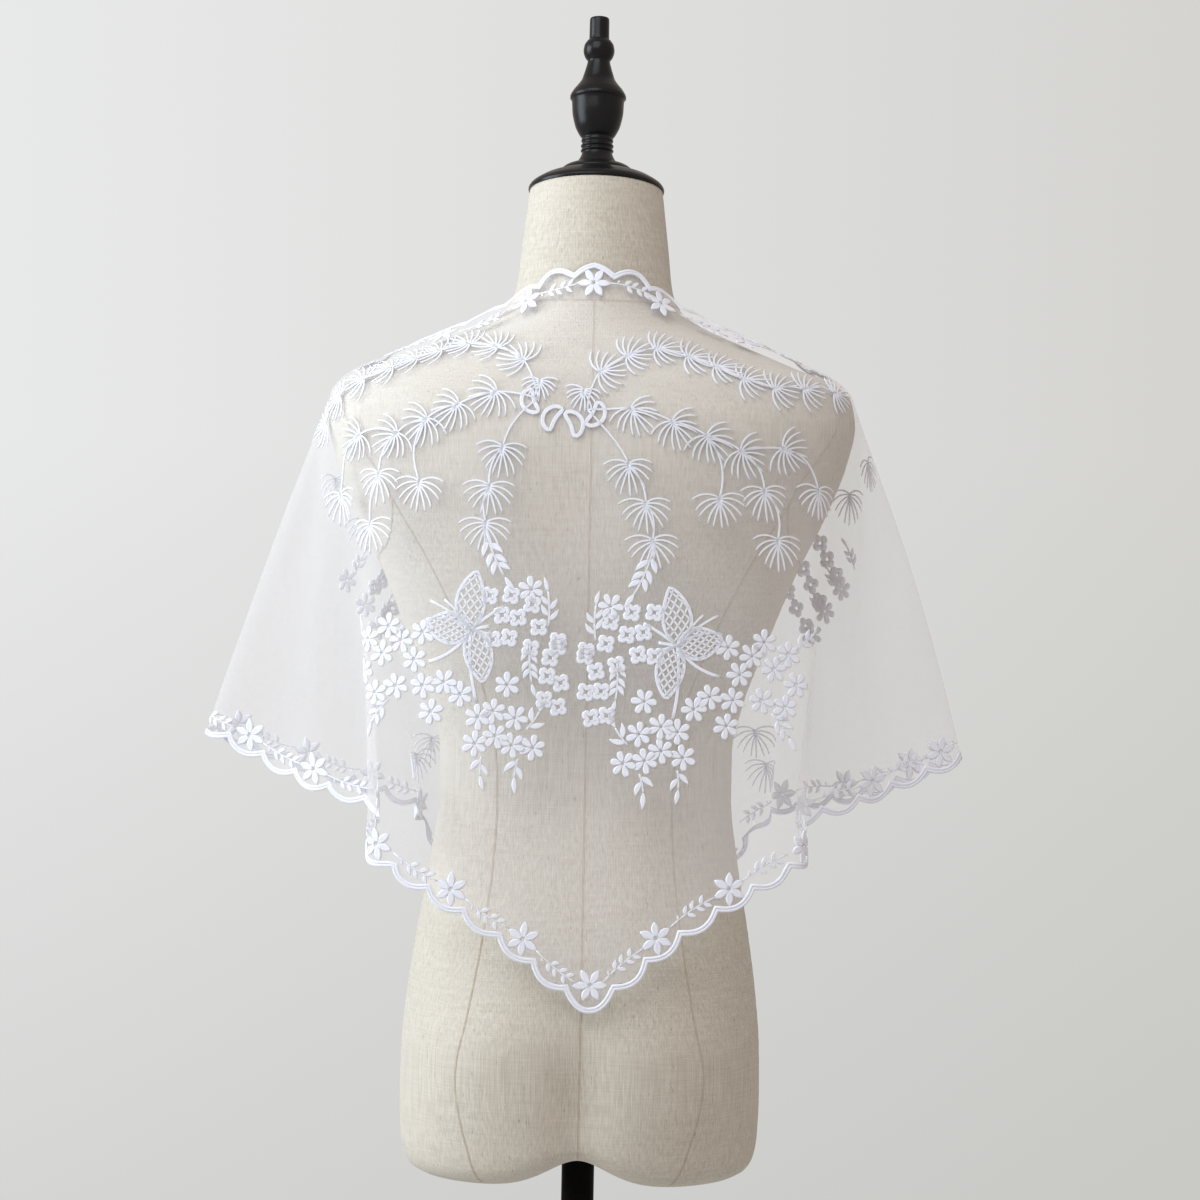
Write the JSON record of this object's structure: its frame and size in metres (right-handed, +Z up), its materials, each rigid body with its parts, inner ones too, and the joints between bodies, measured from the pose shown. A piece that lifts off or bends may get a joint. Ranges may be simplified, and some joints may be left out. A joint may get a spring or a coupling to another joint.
{
  "type": "lace shawl on a dress form",
  "caption": "Triangular net lace shawl with a scalloped border, draped over the shoulders of a limbless linen dress form on a pole and round foot.",
  "frame": {"origin": "centre of the foot's underside, on the floor", "axes": "+Z up, +X to the wearer's right as the back is seen, the back of the form faces -Y"},
  "size_m": [0.583, 0.33, 1.6456],
  "materials": {
    "white_net": "soft, sheer, slightly cool white net",
    "white_embroidery": "dense satin stitch with a soft sheen",
    "linen": "plain woven natural linen, stretched smooth",
    "black_wood": "satin black stain",
    "black_metal": "satin black paint"
  },
  "bodies": {
    "root": {"net": "white_net", "hem_trim": "white_embroidery", "top_trim": "white_embroidery", "torso": "linen", "neck_cap": "black_wood", "finial": "black_wood", "pole": "black_metal", "foot": "black_metal"}
  },
  "joints": []
}
